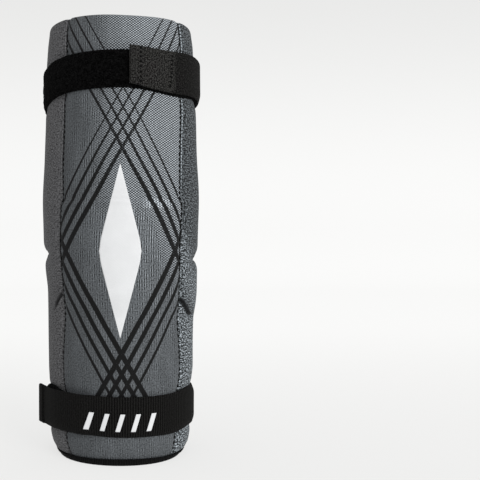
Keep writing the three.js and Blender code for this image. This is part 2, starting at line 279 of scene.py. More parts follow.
# How finely the pieces are cut
FINE = 0.3 * MM
FINE_REACH = 4 * MM
SIDE_STEP = 0.62 * MM
SIDE_REACH = 40 * MM
BACK_STEP = 1.9 * MM
FRONT_REACH = 8 * MM
FRONT_STEP = 0.8 * MM
FOLD_ROWS = (88 * MM, 140 * MM)
FOLD_ROW_STEP = 0.55 * MM
ROW_STEP = 1.1 * MM
INNER_ROWS = 40
RIM_TURNS = 15
BINDING_COLUMNS = 420


def smooth(value):
    t = np.clip(value, 0, 1)
    return t * t * (3 - 2 * t)


def bell(distance, spread):
    return np.exp(-((distance / spread) ** 2))


def mixed(a, b, t):
    return a + (b - a) * t


def from_front(angle):
    """An angle from the middle of the front, from -180 to 180."""
    return (np.asarray(angle) + 180) % 360 - 180


def bells(angle, rows):
    """How high the bells of a table are together at an angle."""
    return sum(row["height"] * MM * bell(from_front(angle) - row["at"], row["wide"]) for row in rows)


def lengths_along(points, axis=0):
    """How far each point lies from the first one, along lines of points."""
    steps = np.linalg.norm(np.diff(points, axis=axis), axis=-1)
    return np.insert(np.cumsum(steps, axis=axis), 0, 0, axis=axis)


def reader(rows, name):
    """A smooth curve through one column of a table, which never overshoots."""
    at = np.array([row["at"] for row in rows], float)
    value = np.array([row[name] for row in rows], float)
    rise = np.diff(value) / np.diff(at)
    slope = np.zeros(len(at))
    same_way = rise[:-1] * rise[1:] > 0
    both = np.where(same_way, rise[:-1] + rise[1:], 1)
    slope[1:-1] = np.where(same_way, 2 * rise[:-1] * rise[1:] / both, 0)

    def read(share):
        share = np.clip(share, at[0], at[-1])
        i = np.clip(np.searchsorted(at, share) - 1, 0, len(at) - 2)
        span = at[i + 1] - at[i]
        t = (share - at[i]) / span
        ends = value[i] * (1 + 2 * t) * (1 - t) ** 2 + value[i + 1] * t * t * (3 - 2 * t)
        return ends + span * (slope[i] * t * (1 - t) ** 2 + slope[i + 1] * t * t * (t - 1))

    return read


side_left, side_right, depth_front, depth_back, wall_share = [
    reader(SECTIONS, name) for name in ("left", "right", "front", "back", "wall")
]
seam_left, seam_right = reader(SEAMS, "left"), reader(SEAMS, "right")

# The sleeve's axis, from the box of the binding, whose front face lies at a known depth
binding_low, binding_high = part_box("lower_binding")
left_reach = HALF_WIDTH * side_left(BINDING_SIDE_HEIGHT / LENGTH)
right_reach = HALF_WIDTH * side_right(BINDING_SIDE_HEIGHT / LENGTH)
front_reach = FRONT_DEPTH * depth_front(BINDING_HEIGHT / LENGTH) + CLEARANCE + BINDING_THICKNESS
AXIS_X = (binding_low.x + binding_high.x) / 2 - (right_reach - left_reach) / 2
AXIS_Y = binding_low.y + front_reach


def half_width(angle, z):
    share = z / LENGTH
    return HALF_WIDTH * np.where(np.sin(np.radians(angle)) > 0, side_right(share), side_left(share))


def depth(angle, z):
    share = z / LENGTH
    front, back = FRONT_DEPTH * depth_front(share), BACK_DEPTH * depth_back(share)
    return np.where(np.cos(np.radians(angle)) > 0, front, back)


def place(angle, z, outside):
    """Points at angles and heights, so far outside the sleeve's plain outer face."""
    angle, z, outside = np.broadcast_arrays(angle, z, outside)
    a = np.radians(angle)
    x = AXIS_X + (half_width(angle, z) + outside) * np.sin(a)
    y = AXIS_Y - (depth(angle, z) + outside) * np.cos(a)
    return np.stack([x, y, z + 0 * x], axis=-1)


def outward(angle):
    a = np.radians(angle)
    normal = np.stack([np.sin(a) / HALF_WIDTH, -np.cos(a) / FRONT_DEPTH, 0 * a], axis=-1)
    return normal / np.linalg.norm(normal, axis=-1, keepdims=True)


def wall_at(angle, z):
    towards = np.cos(np.radians(angle))
    ends = np.where(towards > 0, FRONT_WALL, BACK_WALL)
    return (SIDE_WALL + (ends - SIDE_WALL) * towards**2) * wall_share(z / LENGTH)


def upper_middle(angle):
    a = np.radians(angle)
    tilt = UPPER_STRAP_TILT * np.cos(a) + UPPER_STRAP_ROLL * np.sin(a)
    return LENGTH - UPPER_STRAP_DROP + tilt + bells(angle, UPPER_BENDS)


def upper_pile_middle(angle):
    return upper_middle(angle) - UPPER_PILE_LOWER_BY


def lower_middle(angle):
    return LOWER_STRAP_RISE + bells(angle, LOWER_BENDS)


def lower_pile_middle(angle):
    """The loop strap shows above the closing strap at the left."""
    return lower_middle(angle) + bells(angle, LOWER_PILE_BENDS)


def seam_angle(side, z):
    return np.where(side > 0, seam_right(z / LENGTH), -seam_left(z / LENGTH))


def waves(angle, z):
    """Slow hollows and swells of soft foam under cloth, the same on every run."""
    a = np.radians(angle)
    return (
        0.16 * MM * np.sin(5 * a + 38 * z + 0.4)
        + 0.14 * MM * np.sin(3 * a - 61 * z + 1.9)
        + 0.09 * MM * np.sin(9 * a + 97 * z + 2.7)
        + 0.07 * MM * np.sin(11 * a - 143 * z + 5.1)
    )


def pressed(angle, z):
    """1 under a strap, and 0 a little way from it."""
    under = 0
    for middle in (upper_pile_middle, lower_middle):
        off = np.abs(z - middle(angle)) - PILE_WIDTH / 2
        under = np.maximum(under, 1 - smooth(off / PRESS_REACH))
    return under


def cap_relief(turned, away, seam, z):
    """The elbow cap, with its ledge at the top and a lip along the ledge."""
    ledge = CAP_TOP + LEDGE_WAVE * np.cos(np.radians(turned) * 5.2 + 0.6)
    upper = smooth((ledge + CAP_LEDGE / 2 - z) / CAP_LEDGE)
    lower = smooth((z - CAP_BOTTOM + CAP_SLOPE / 2) / CAP_SLOPE)
    cap = CAP_RISE * upper * lower * (1 - smooth((away - seam + 4) / 34))
    lip = LEDGE_LIP * bell(z - (ledge - 2.2 * MM), 2.2 * MM) * (1 - smooth((away - 22) / 20))
    return cap + lip


def seam_relief(from_seam, z):
    """The groove of a seam, a thin ridge beside it in the upper part, and small puckers."""
    groove = SEAM_DEPTH * bell(from_seam, SEAM_SPREAD)
    ridge_here = smooth((z - 165 * MM) / (30 * MM)) * (from_seam > 0)
    ridge = RIDGE_RISE * ridge_here * bell(from_seam - RIDGE_FROM_SEAM, RIDGE_SPREAD)
    pucker = np.sin(z / PUCKER_PITCH * 2 * math.pi + 3 * np.sin(z * 90))
    return ridge - groove + PUCKER_DEPTH * pucker * bell(from_seam, PUCKER_SPREAD)


def crease_of(fold, turned, z):
    """How far above the fold's crease each point lies, and 1 along the fold and 0 past its ends."""
    along = (turned * fold["side"] - fold["start"]) * ARC_PER_DEGREE
    full, fall = (fold["top"] - fold["foot"]) * MM, fold["fall"] * MM
    left = 1 - np.maximum(along, 0) / fall
    rounded = np.hypot(left, FOLD_BEND)
    slope = full / fall * (1 + left / rounded) / 2
    above = (z - fold["foot"] * MM - full * (left + rounded) / 2) / np.sqrt(1 + slope**2)
    here = smooth(along / (1.5 * MM) + 0.5) * (1 - smooth(along / (fold["reach"] * MM) * 2 - 1))
    return above, here


def fold_relief(fold, turned, z):
    above, here = crease_of(fold, turned, z)
    spread = fold["spread"] * MM
    crease = fold["depth"] * MM * bell(above + 0.3 * spread, spread)
    swell = fold["rise"] * MM * smooth(above / (1.3 * MM) + 0.1) * np.exp(-np.abs(above) / (10 * MM))
    return (swell - crease) * here


def fold_shade(angle, z):
    """How much painted shade darkens the cloth at the folds, from 0 to 1."""
    dark = 0 * angle
    for fold in FOLDS:
        above, here = crease_of(fold, from_front(angle), z)
        shade = fold["shade"] * smooth(above / MM) * np.exp(-np.maximum(above, 0) / SHADE_REACH)
        line = fold["line"] * bell(above - 0.4 * MM, CREASE_WIDTH)
        dark = np.maximum(dark, (shade + line) * here)
    return np.clip(dark, 0, 1)


def relief(angle, z):
    """How far the outer face stands out of its plain shape."""
    turned = from_front(angle)
    side = np.where(turned < 0, -1, 1)
    away = np.abs(turned)
    seam = np.abs(seam_angle(side, z))
    out = cap_relief(turned, away, seam, z) + seam_relief((away - seam) * ARC_PER_DEGREE, z)

    pinch_at = np.where(side > 0, PINCH_RIGHT, PINCH_LEFT)
    pinch_here = smooth((away - seam - 8) / 26) * (1 - smooth((away - 122) / 30))
    out = out - PINCH_DEPTH * bell(z - pinch_at, PINCH_SPREAD) * pinch_here
    for fold in FOLDS:
        out = out + fold_relief(fold, turned, z)

    puff = np.where(side > 0, RIGHT_PUFF, LEFT_PUFF) * smooth((away - seam) / 25)
    inland = smooth((LENGTH - z) / (12 * MM)) * smooth((z - 6 * MM) / (10 * MM))
    return out + (puff + waves(turned, z)) * inland - STRAP_PRESS * pressed(turned, z)


def binding_height(angle):
    return mixed(BINDING_HEIGHT, BINDING_SIDE_HEIGHT, np.sin(np.radians(angle)) ** 2)


def tuck(angle, z):
    return HEM_TUCK * (1 - smooth((z - HEM_HEIGHT) / (binding_height(angle) - HEM_HEIGHT)))


def undercut(angle, z):
    """How far the lowest few millimetres draw in, most of all at the sides."""
    aside = np.sin(np.radians(angle))
    most = np.where(aside < 0, LEFT_UNDERCUT * aside**6, RIGHT_UNDERCUT * aside**4)
    return most * (1 - smooth(z / UNDERCUT_HEIGHT))


# Meshes


def mesh_of(name, points, faces):
    mesh = bpy.data.meshes.new(name)
    mesh.from_pydata(points.reshape(-1, 3).tolist(), [], faces)
    return mesh


def linked(name, data):
    item = bpy.data.objects.new(name, data)
    bpy.context.scene.collection.objects.link(item)
    return item


def finished(mesh, materials, node=None):
    """Makes the object of a mesh, hangs it on the root body and hides the frame's part that it stands for.
    """
    mesh.validate()
    mesh.shade_smooth()
    piece = linked(mesh.name, mesh)
    for material in materials:
        mesh.materials.append(material)
    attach(piece, "root")
    if node:
        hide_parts(node)
    return piece


def store_cloth(mesh, cloth):
    """Stores where each point lies on the flat cloth, and how far from its edge."""
    flat = np.zeros((cloth[..., 0].size, 3), np.float32)
    flat[:, : cloth.shape[-1]] = cloth.reshape(-1, cloth.shape[-1])
    mesh.attributes.new("cloth", "FLOAT_VECTOR", "POINT").data.foreach_set("vector", flat.ravel())


def lofted(name, columns, cloth, ring=False, lining_from=None):
    """A body through columns of points, each a closed loop that runs up outside and down inside."""
    across, around = columns.shape[:2]
    index = np.arange(across * around).reshape(across, around)
    here = index if ring else index[:-1]
    after = np.roll(index, -1, 0) if ring else index[1:]
    faces = np.stack([here, after, np.roll(after, -1, 1), np.roll(here, -1, 1)], axis=-1).reshape(-1, 4)
    lining = np.zeros(here.shape, np.int32)
    if lining_from:
        lining[:, lining_from:] = 1
    lining = lining.ravel()
    if not ring:
        k = np.arange(around // 2 - 1)
        opposite = around - 1 - k
        cap = np.stack([k, k + 1, opposite - 1, opposite], axis=-1)
        faces = np.concatenate([faces, cap, index[-1, 0] + cap[:, [0, 3, 2, 1]]])
        lining = np.pad(lining, (0, 2 * len(k)))
    mesh = mesh_of(name, columns, faces.tolist())
    mesh.polygons.foreach_set("material_index", lining)
    store_cloth(mesh, cloth)
    return mesh


def spaced(low, high, step):
    return np.linspace(low, high, max(1, round((high - low) / step)), endpoint=False)


def columns_across(arc, side_reach, middle_step):
    """Positions from 0 to arc, closest together at both ends."""
    half = np.concatenate([
        spaced(0, FINE_REACH, FINE),
        spaced(FINE_REACH, side_reach, SIDE_STEP),
        spaced(side_reach, arc / 2, middle_step),
    ])
    return np.concatenate([half, [arc / 2], arc - half[::-1]])


def sleeve_rows():
    """Heights up the outer face, from the hem to where the upper rim starts to round over."""
    low, high = FOLD_ROWS
    return np.concatenate([
        spaced(HEM_HEIGHT, low, ROW_STEP),
        spaced(low, high, FOLD_ROW_STEP),
        spaced(high, LENGTH - RIM_RADIUS, ROW_STEP),
        [LENGTH - RIM_RADIUS],
    ])


def panel(name, edges, side_reach, middle_step, rim_rise, rim_dip):
    """One panel of the sleeve, between the two edges that it has at each height."""
    rows = sleeve_rows()
    low, high = edges(LENGTH / 2)
    arc = float(high - low) * ARC_PER_DEGREE
    across = columns_across(arc, side_reach, middle_step)
    shares = across[:, None] / arc
    inland = np.minimum(across, arc - across)[:, None]
    z = rows[None, :]
    angle = mixed(*edges(z), shares)
    outer = place(angle, z, relief(angle, z) - tuck(angle, z) - undercut(angle, z))

    rim_angle = mixed(*edges(LENGTH), shares)
    rim_relief = relief(rim_angle, LENGTH)
    half = (wall_at(rim_angle, LENGTH) + rim_relief) / 2
    turns = np.linspace(0, math.pi, RIM_TURNS)[None, 1:-1]
    rim = place(rim_angle, LENGTH, rim_relief - half + half * np.cos(turns))
    lean = rim_rise - TOP_RIM_SLOPE * (place(rim_angle, LENGTH, 0)[..., 0] - AXIS_X)
    lean = lean - rim_dip * (1 - smooth(inland / RIM_DIP_REACH)) - bells(rim_angle, RIM_SAG)
    rim[..., 2] = LENGTH + lean - RIM_RADIUS + RIM_RADIUS * np.sin(turns)
    outer[..., 2] += lean * smooth((z - 0.93 * LENGTH) / (0.06 * LENGTH))

    inner_z = np.linspace(LENGTH - RIM_RADIUS * 2, HEM_HEIGHT, INNER_ROWS)[None, :]
    inner_angle = mixed(*edges(inner_z), shares)
    inner_out = 0.6 * waves(inner_angle + 70, inner_z) - wall_at(inner_angle, inner_z)
    inner = place(inner_angle, inner_z, inner_out - undercut(inner_angle, inner_z))

    columns = np.concatenate([outer, rim, inner], axis=1)
    if columns.shape[1] % 2:
        columns = np.delete(columns, -2, axis=1)
    # The cloth's own coordinates: the arc from the middle of the panel, and the way up and over the rim
    run = lengths_along(columns)
    run -= run[-1:] / 2
    over = lengths_along(columns[len(columns) // 2])
    up = np.concatenate([rows, rows[-1] + over[len(rows) :] - over[len(rows) - 1]])
    cloth = np.stack(np.broadcast_arrays(run, up, inland), axis=-1)
    mesh = lofted(name, columns, cloth, lining_from=len(rows) + RIM_TURNS // 2 + 1)
    # The painted shade of the folds, kept as the crease attribute, by which the side cloth darkens
    dark = np.zeros(columns.shape[:2], np.float32)
    dark[:, : len(rows)] = fold_shade(angle, z)
    mesh.attributes.new("crease", "FLOAT", "POINT").data.foreach_set("value", dark.ravel())
    return mesh


def front_edges(z):
    return seam_angle(-1, z) + SEAM_GAP, seam_angle(1, z) - SEAM_GAP


def side_edges(z):
    return seam_angle(1, z) + SEAM_GAP, 360 + seam_angle(-1, z) - SEAM_GAP


def make_front_panel(knit, inside):
    mesh = panel("sleeve_front", front_edges, FRONT_REACH, FRONT_STEP, FRONT_RIM_RISE, FRONT_RIM_DIP)
    piece = finished(mesh, [knit, inside], "front_panel")


def make_side_and_back_panel(cloth, inside):
    mesh = panel("sleeve_sides_and_back", side_edges, SIDE_REACH, BACK_STEP, SIDE_RIM_RISE, SIDE_RIM_DIP)
    piece = finished(mesh, [cloth, inside], "side_and_back_panel")


def make_binding(tape):
    """The tape round the lower rim, softly rounded and a little puckered."""
    angle = np.linspace(0, 360, BINDING_COLUMNS, endpoint=False)[:, None]
    height = binding_height(angle)
    thick = BINDING_THICKNESS
    face = CLEARANCE + thick
    top = BINDING_INNER_HEIGHT

    def within(at, gap):
        return -wall_at(angle, at) - gap

    # Where the sleeve is measured, how far outside it the tape lies, and how high
    rows = [
        (height, face * 0.7, 0),
        (height, face * 1.05, height * 0.08),
        (height, face * 1.2, height * 0.24),
        (height, face * 1.15, height * 0.52),
        (height, face, height * 0.78),
        (height, face * 0.9, height * 0.93),
        (height, (face + CLEARANCE) / 2, height),
        (height, CLEARANCE * 1.2, height * 0.92),
        (height, CLEARANCE * 0.5, height * 0.7),
        (HEM_HEIGHT, CLEARANCE - HEM_TUCK, thick),
        (HEM_HEIGHT, within(HEM_HEIGHT, CLEARANCE), thick),
        (top, within(top, CLEARANCE), top * 0.93),
        (top, within(top, CLEARANCE + thick / 2), top),
        (top, within(top, face), top * 0.93),
        (HEM_HEIGHT, within(HEM_HEIGHT, face), thick),
        (HEM_HEIGHT, within(HEM_HEIGHT, CLEARANCE), 0),
    ]
    columns = np.concatenate([place(angle, at, out - undercut(angle, z)) for at, out, z in rows], axis=1)
    columns[..., 2] = np.concatenate([z + 0 * angle for _, _, z in rows], axis=1)
    a = np.radians(angle)
    pucker = 0.1 * MM * (np.sin(61 * a) + np.sin(97 * a + 1.3) + 0.8 * np.sin(143 * a + 0.5))
    puckered = pucker * np.pad([0.2, 0.6, 1, 1, 1, 0.8, 0.4], (0, len(rows) - 7))
    columns[..., 0] += np.sin(a) * puckered
    columns[..., 1] -= np.cos(a) * puckered
    cloth = np.stack(np.broadcast_arrays(a * BINDING_RADIUS, lengths_along(columns[0])), axis=-1)
    mesh = lofted("rim_binding", columns, cloth, ring=True)
    finished(mesh, [tape], "lower_binding")


# Straps


def strap_stations(route, step):
    """Angles, lifts and hems along a strap, cut into steps of so many degrees."""
    parts = []
    for before, after in zip(route[:-1], route[1:]):
        count = max(1, math.ceil((after["angle"] - before["angle"]) / step))
        t = np.arange(count) / count
        shares = dict(angle=t, over=smooth(t), hem=smooth(t))
        parts.append([mixed(before[name], after[name], share) for name, share in shares.items()])
    last = [[value] for value in route[-1].values()]
    return np.concatenate([*parts, last], axis=1)


def strap_place(middle, angle, across, outside, along=0.0):
    """Points of a strap: across its width, outside the sleeve, and along its free tab."""

    def spot(at):
        centre = middle(at)
        z = centre + across
        flat = STRAP_FLATNESS * (half_width(at, centre) - half_width(at, z))
        return place(at, z, outside + flat)

    point = spot(angle)
    ahead = spot(angle + 0.5) - point
    ahead /= np.linalg.norm(ahead, axis=-1, keepdims=True)
    return point - ahead * np.asarray(along)[..., None]


def near_edge(across, width):
    """0 on a strap, rising to 1 at its upper edge, and with -across at its lower edge."""
    return smooth((across - width / 2 + CURL_REACH) / CURL_REACH) ** 2


def make_strap(
    name, node, route, middle, material, slot, width, thickness, step, points,
    free_tab=0.0, seed=None, sags=(), puffs=(), curls=(),
):
    """A strap with round edges round the sleeve. A seed makes its outer face as rough as loops are."""
    angle, over, hem = strap_stations(route, step)
    along = 0 * angle
    if free_tab > 0:
        tab = np.linspace(free_tab, 0, FREE_TAB_COLUMNS, endpoint=False)
        angle, over = [np.pad(row, (len(tab), 0), mode="edge") for row in (angle, over)]
        hem = np.concatenate([smooth((tab - free_tab + FREE_TAB_HEM) / MM + 1), hem])
        along = np.concatenate([tab, along])
    nose = 0 * angle + 1
    if hem[0] > 0.5:
        run = lengths_along(strap_place(middle, angle, 0 * angle, 0 * angle, along))
        reach = HEM_THICKNESS / (4 if free_tab > 0 else 2)
        nose = np.sqrt(np.clip(1 - np.clip(1 - run / reach, 0, 0.999) ** 2, 0.02, 1))

    # From the lower edge up the outer face, over the upper edge and down the inner face
    radius = thickness / 2
    turn = np.linspace(-math.pi / 2, math.pi / 2, 7)[1:-1]
    flat = np.linspace(-1, 1, points) * (width / 2 - radius)
    edge = width / 2 - radius + radius * np.cos(turn)
    rise = 0.5 + 0.5 * np.sin(turn)
    across = np.concatenate([flat, edge[::-1], flat[::-1], -edge])[None, :]
    level = np.concatenate([1 + 0 * flat, rise[::-1], 0 * flat, rise])[None, :]

    full = mixed(thickness, HEM_THICKNESS, hem)
    lift = CLEARANCE + over * (PILE_THICKNESS + CLEARANCE) + bells(angle, puffs) * (along == 0)
    angle, along = angle[:, None], along[:, None]
    on_sleeve = 1 - np.clip(along / max(free_tab, MM), 0, 1)
    curl = EDGE_CURL * near_edge(-across, width) * on_sleeve + bells(angle, curls) * near_edge(across, width)
    outside = lift[:, None] + full[:, None] * (0.5 + (level - 0.5) * nose[:, None]) - curl
    across = across - bells(angle, sags) * np.clip(0.5 - across / width, 0, 1)
    across = across + FREE_TAB_RISE * (1 - on_sleeve)
    if seed:
        rng = np.random.default_rng(seed)
        bumps = rng.normal(size=outside.shape)
        bumps = PILE_ROUGH * (bumps + np.roll(bumps, 1, 0) + np.roll(bumps, 1, 1)) / math.sqrt(3)
        outside = outside + bumps * np.clip(level * 2 - 0.6, 0, 1)
        across = across + 0.6 * np.roll(bumps, 3, 1) * (1 - np.abs(2 * level - 1))
    spots = strap_place(middle, angle, across, outside, along)
    run = lengths_along(spots[:, points // 2])
    cloth = np.stack(np.broadcast_arrays(run[:, None], across), axis=-1)
    # The loop starts in the middle of the lower edge, so that the end caps close in strips
    mesh = lofted(name, np.roll(spots, 2, 1), np.roll(cloth, 2, 1))
    finished(mesh, [material], node)


def make_straps(pile, upper, lower):
    """The two loop straps, and the webbing that closes over each."""
    loops = dict(
        material=pile, slot="loop_pile", width=PILE_WIDTH, thickness=PILE_THICKNESS, step=0.8, points=28,
    )
    webbing = dict(slot="elastic", thickness=ELASTIC_THICKNESS, step=0.9, points=22)
    make_strap(
        "upper_loop_strap", "upper_pile_strap", UPPER_PILE, upper_pile_middle, **loops,
        seed=3, sags=UPPER_PILE_SAGS,
    )
    make_strap(
        "upper_closing_strap", "upper_elastic_strap", UPPER_ELASTIC, upper_middle, upper, **webbing,
        width=ELASTIC_WIDTH, sags=UPPER_SAGS,
    )
    make_strap("lower_loop_strap", "lower_pile_strap", LOWER_PILE, lower_pile_middle, **loops, seed=5)
    make_strap(
        "lower_closing_strap", "lower_elastic_strap", LOWER_ELASTIC, lower_middle, lower, **webbing,
        width=LOWER_ELASTIC_WIDTH, free_tab=FREE_TAB_LENGTH,
        sags=LOWER_SAGS, puffs=LOWER_PUFFS, curls=LOWER_CURLS,
    )


# Stitches


def sew(name, threads, material, flatness=0.7):
    """Short bent threads as one mesh. Each has a start, an end, the angle that it faces and a radius."""
    rings, sides = 7, 6
    starts, ends, angles, radii = [np.array(column) for column in zip(*threads)]
    outs, radius = outward(angles)[:, None], radii[:, None]
    along = (ends - starts)[:, None]
    across = np.cross(along / np.linalg.norm(along, axis=-1, keepdims=True), outs)
    t = np.linspace(0, 1, rings)
    thick = radius * np.sqrt(np.clip(1 - (2 * t - 1) ** 4, 0.03, 1))
    arch = radius * flatness * (1.14 * np.sin(math.pi * t) - 0.43)
    centre = starts[:, None] + along * t[:, None] + outs * arch[..., None]
    turn = np.linspace(0, 2 * math.pi, sides, endpoint=False)[:, None]
    ring = across * np.cos(turn) + outs * np.sin(turn) * flatness
    points = centre[:, :, None] + ring[:, None] * thick[:, :, None, None]
    index = np.arange(points[..., 0].size).reshape(-1, rings, sides)
    low, high = index[:, :-1], index[:, 1:]
    walls = np.stack([low, np.roll(low, -1, 2), np.roll(high, -1, 2), high], axis=-1).reshape(-1, 4)
    mesh = mesh_of(name, points, walls.tolist() + index[:, 0, ::-1].tolist() + index[:, -1].tolist())
    finished(mesh, [material])


def make_seam_stitches(thread):
    rng = np.random.default_rng(11)
    threads = []
    for side, radius in ((-1, LEFT_THREAD), (1, RIGHT_THREAD)):
        z = 6.5 * MM
        while z < LENGTH - 4.5 * MM:
            ends = (z, min(z + rng.uniform(2.2, 3.2) * MM, LENGTH - 3 * MM))
            angles = [float(seam_angle(side, at) - side * (0.75 + rng.uniform(-0.15, 0.15))) for at in ends]
            spots = [place(angle, at, relief(angle, at) - 0.05 * MM) for angle, at in zip(angles, ends)]
            threads.append((*spots, angles[0], radius))
            z = ends[1] + rng.uniform(0.8, 1.4) * MM
    sew("seam_stitches", threads, thread)


def strap_threads(middle, angle, outside, seed, slope=0.0, along=0.0):
    """A row of short slanting threads across a strap."""
    rng = np.random.default_rng(seed)
    threads = []
    half = ELASTIC_WIDTH / 2 - 2 * MM
    across = -half
    while across < half:
        turn = angle + slope * across / MM
        length = rng.uniform(1.2, 1.8) * MM
        lean = rng.uniform(0.2, 0.8)
        start = strap_place(middle, turn, across, outside, along)
        end = strap_place(middle, turn + lean, across + length, outside, along)
        threads.append((start, end, turn, STRAP_THREAD))
        across += 2.9 * MM * rng.uniform(0.9, 1.1)
    return threads


def make_strap_stitches(thread):
    """Rows at the ends of the closing straps, and two rows across each at the back."""
    over = CLEARANCE * 2 + PILE_THICKNESS
    face = over + ELASTIC_THICKNESS
    threads = [
        *strap_threads(upper_middle, 13.2, over + HEM_THICKNESS - 0.05 * MM, seed=21),
        *strap_threads(upper_middle, 36.5, face, seed=22, slope=0.1),
        *strap_threads(upper_middle, 174, face, seed=23),
        *strap_threads(upper_middle, 187, face, seed=24),
        *strap_threads(lower_middle, 174, face, seed=25),
        *strap_threads(lower_middle, 187, face, seed=26),
        *strap_threads(lower_middle, -66, face, seed=27, along=FREE_TAB_LENGTH - FREE_TAB_HEM),
    ]
    sew("strap_stitches", threads, thread, flatness=0.5)


def make_binding_stitches(thread):
    rng = np.random.default_rng(31)
    threads = []
    angle = 0.0
    while angle < 359:
        length = rng.uniform(2.4, 3.0)
        spots = []
        for at in (angle, angle + length):
            height = float(binding_height(at))
            level = height * 0.72
            spot = place(at, height, CLEARANCE + BINDING_THICKNESS + 0.02 * MM - undercut(at, level))
            spot[2] = level
            spots.append(spot)
        threads.append((*spots, angle, BINDING_THREAD))
        angle += length + rng.uniform(0.8, 1.2)
    sew("binding_stitches", threads, thread)


# Prints


def film(name, tops, bottoms, cloth, material):
    """A closed film from a grid of its upper points and the matching lower ones."""
    index = np.arange(tops[..., 0].size).reshape(tops.shape[:2])
    upper = np.stack([index[:-1, :-1], index[:-1, 1:], index[1:, 1:], index[1:, :-1]], axis=-1)
    upper = upper.reshape(-1, 4)
    rim = np.concatenate([index[0, :-1], index[:-1, -1], index[-1, :0:-1], index[:0:-1, 0]])
    after = np.roll(rim, -1)
    walls = np.stack([rim, rim + index.size, after + index.size, after], axis=-1)
    faces = np.concatenate([upper, upper[:, ::-1] + index.size, walls])
    mesh = mesh_of(name, np.stack([tops, bottoms]), faces.tolist())
    store_cloth(mesh, np.stack([cloth, cloth]))
    finished(mesh, [material])


def sleeve_angle(u, z):
    """The angles at arcs u from the middle of the front, with a row of u for each height z."""
    angles = np.linspace(-60, 60, 481)
    z = z[:, None]
    run = lengths_along(place(angles, z, relief(angles, z)), axis=1)
    run -= run[:, [len(angles) // 2]]
    return np.array([np.interp(row, arc, angles) for row, arc in zip(u, run)])


def make_lozenge(white):
    """The white lozenge on the elbow, with softly rounded corners."""
    rows, across = 220, 33
    v = np.linspace(-1, 1, rows) * LOZENGE_HALF_HEIGHT
    t = np.abs(v) / LOZENGE_HALF_HEIGHT
    end_round = np.sqrt(np.clip(1 - ((t - (1 - LOZENGE_TIP)) / LOZENGE_TIP).clip(0, 1) ** 2, 0, 1))
    half = LOZENGE_HALF_WIDTH * (1 - t - 0.06 * bell(t, 0.09))
    half = half.clip(0.02 * MM) * end_round.clip(0.05, 1)
    spread = np.linspace(-1, 1, across)
    u = half[:, None] * spread
    z = PATTERN_HEIGHT + v
    angle = sleeve_angle(u, z)
    grid_z = np.broadcast_to(z[:, None], u.shape)
    stand = relief(angle, grid_z)
    edge = np.sqrt(np.clip(1 - spread**8, 0, 1))
    tops = place(angle, grid_z, stand + PRINT_THICKNESS * (0.45 + 0.55 * edge))
    bottoms = place(angle, grid_z, stand - PRINT_ROOT)
    film("white_lozenge", tops, bottoms, np.stack([u, grid_z], axis=-1), white)


def make_bar(name, material, centre, grow, raised):
    """One slanted bar on the lower strap, grown on all sides and so far off the strap's face."""
    v = np.linspace(-1, 1, 26)[:, None] * (BAR_HEIGHT / 2 + grow)
    u = centre + BAR_SLANT * v / BAR_HEIGHT + np.linspace(-1, 1, 9) * (BAR_WIDTH / 2 + grow)
    v = v + 0 * u
    angle = np.degrees(np.arcsin(u / (HALF_WIDTH * 0.93)))
    across = v - BAR_CENTRE_BELOW
    angles, overs, _ = strap_stations(LOWER_ELASTIC, 0.5)
    face = CLEARANCE + np.interp(angle, angles, overs) * (PILE_THICKNESS + CLEARANCE) + ELASTIC_THICKNESS
    face = face - EDGE_CURL * near_edge(-across, ELASTIC_WIDTH)
    top, low = [strap_place(lower_middle, angle, across, face + up) for up in (raised, -0.25 * MM)]
    film(name, top, low, np.stack([u, v], axis=-1), material)


def make_strap_bars(white, outline):
    """Five plain slanted bars on the lower strap, each with a thin black edge."""
    for i in range(BAR_COUNT):
        centre = (i - (BAR_COUNT - 1) / 2) * BAR_PITCH
        make_bar(f"bar_edge_{i + 1}", outline, centre, grow=0.6 * MM, raised=0.06 * MM)
        make_bar(f"strap_bar_{i + 1}", white, centre, grow=0, raised=0.16 * MM)


# Materials


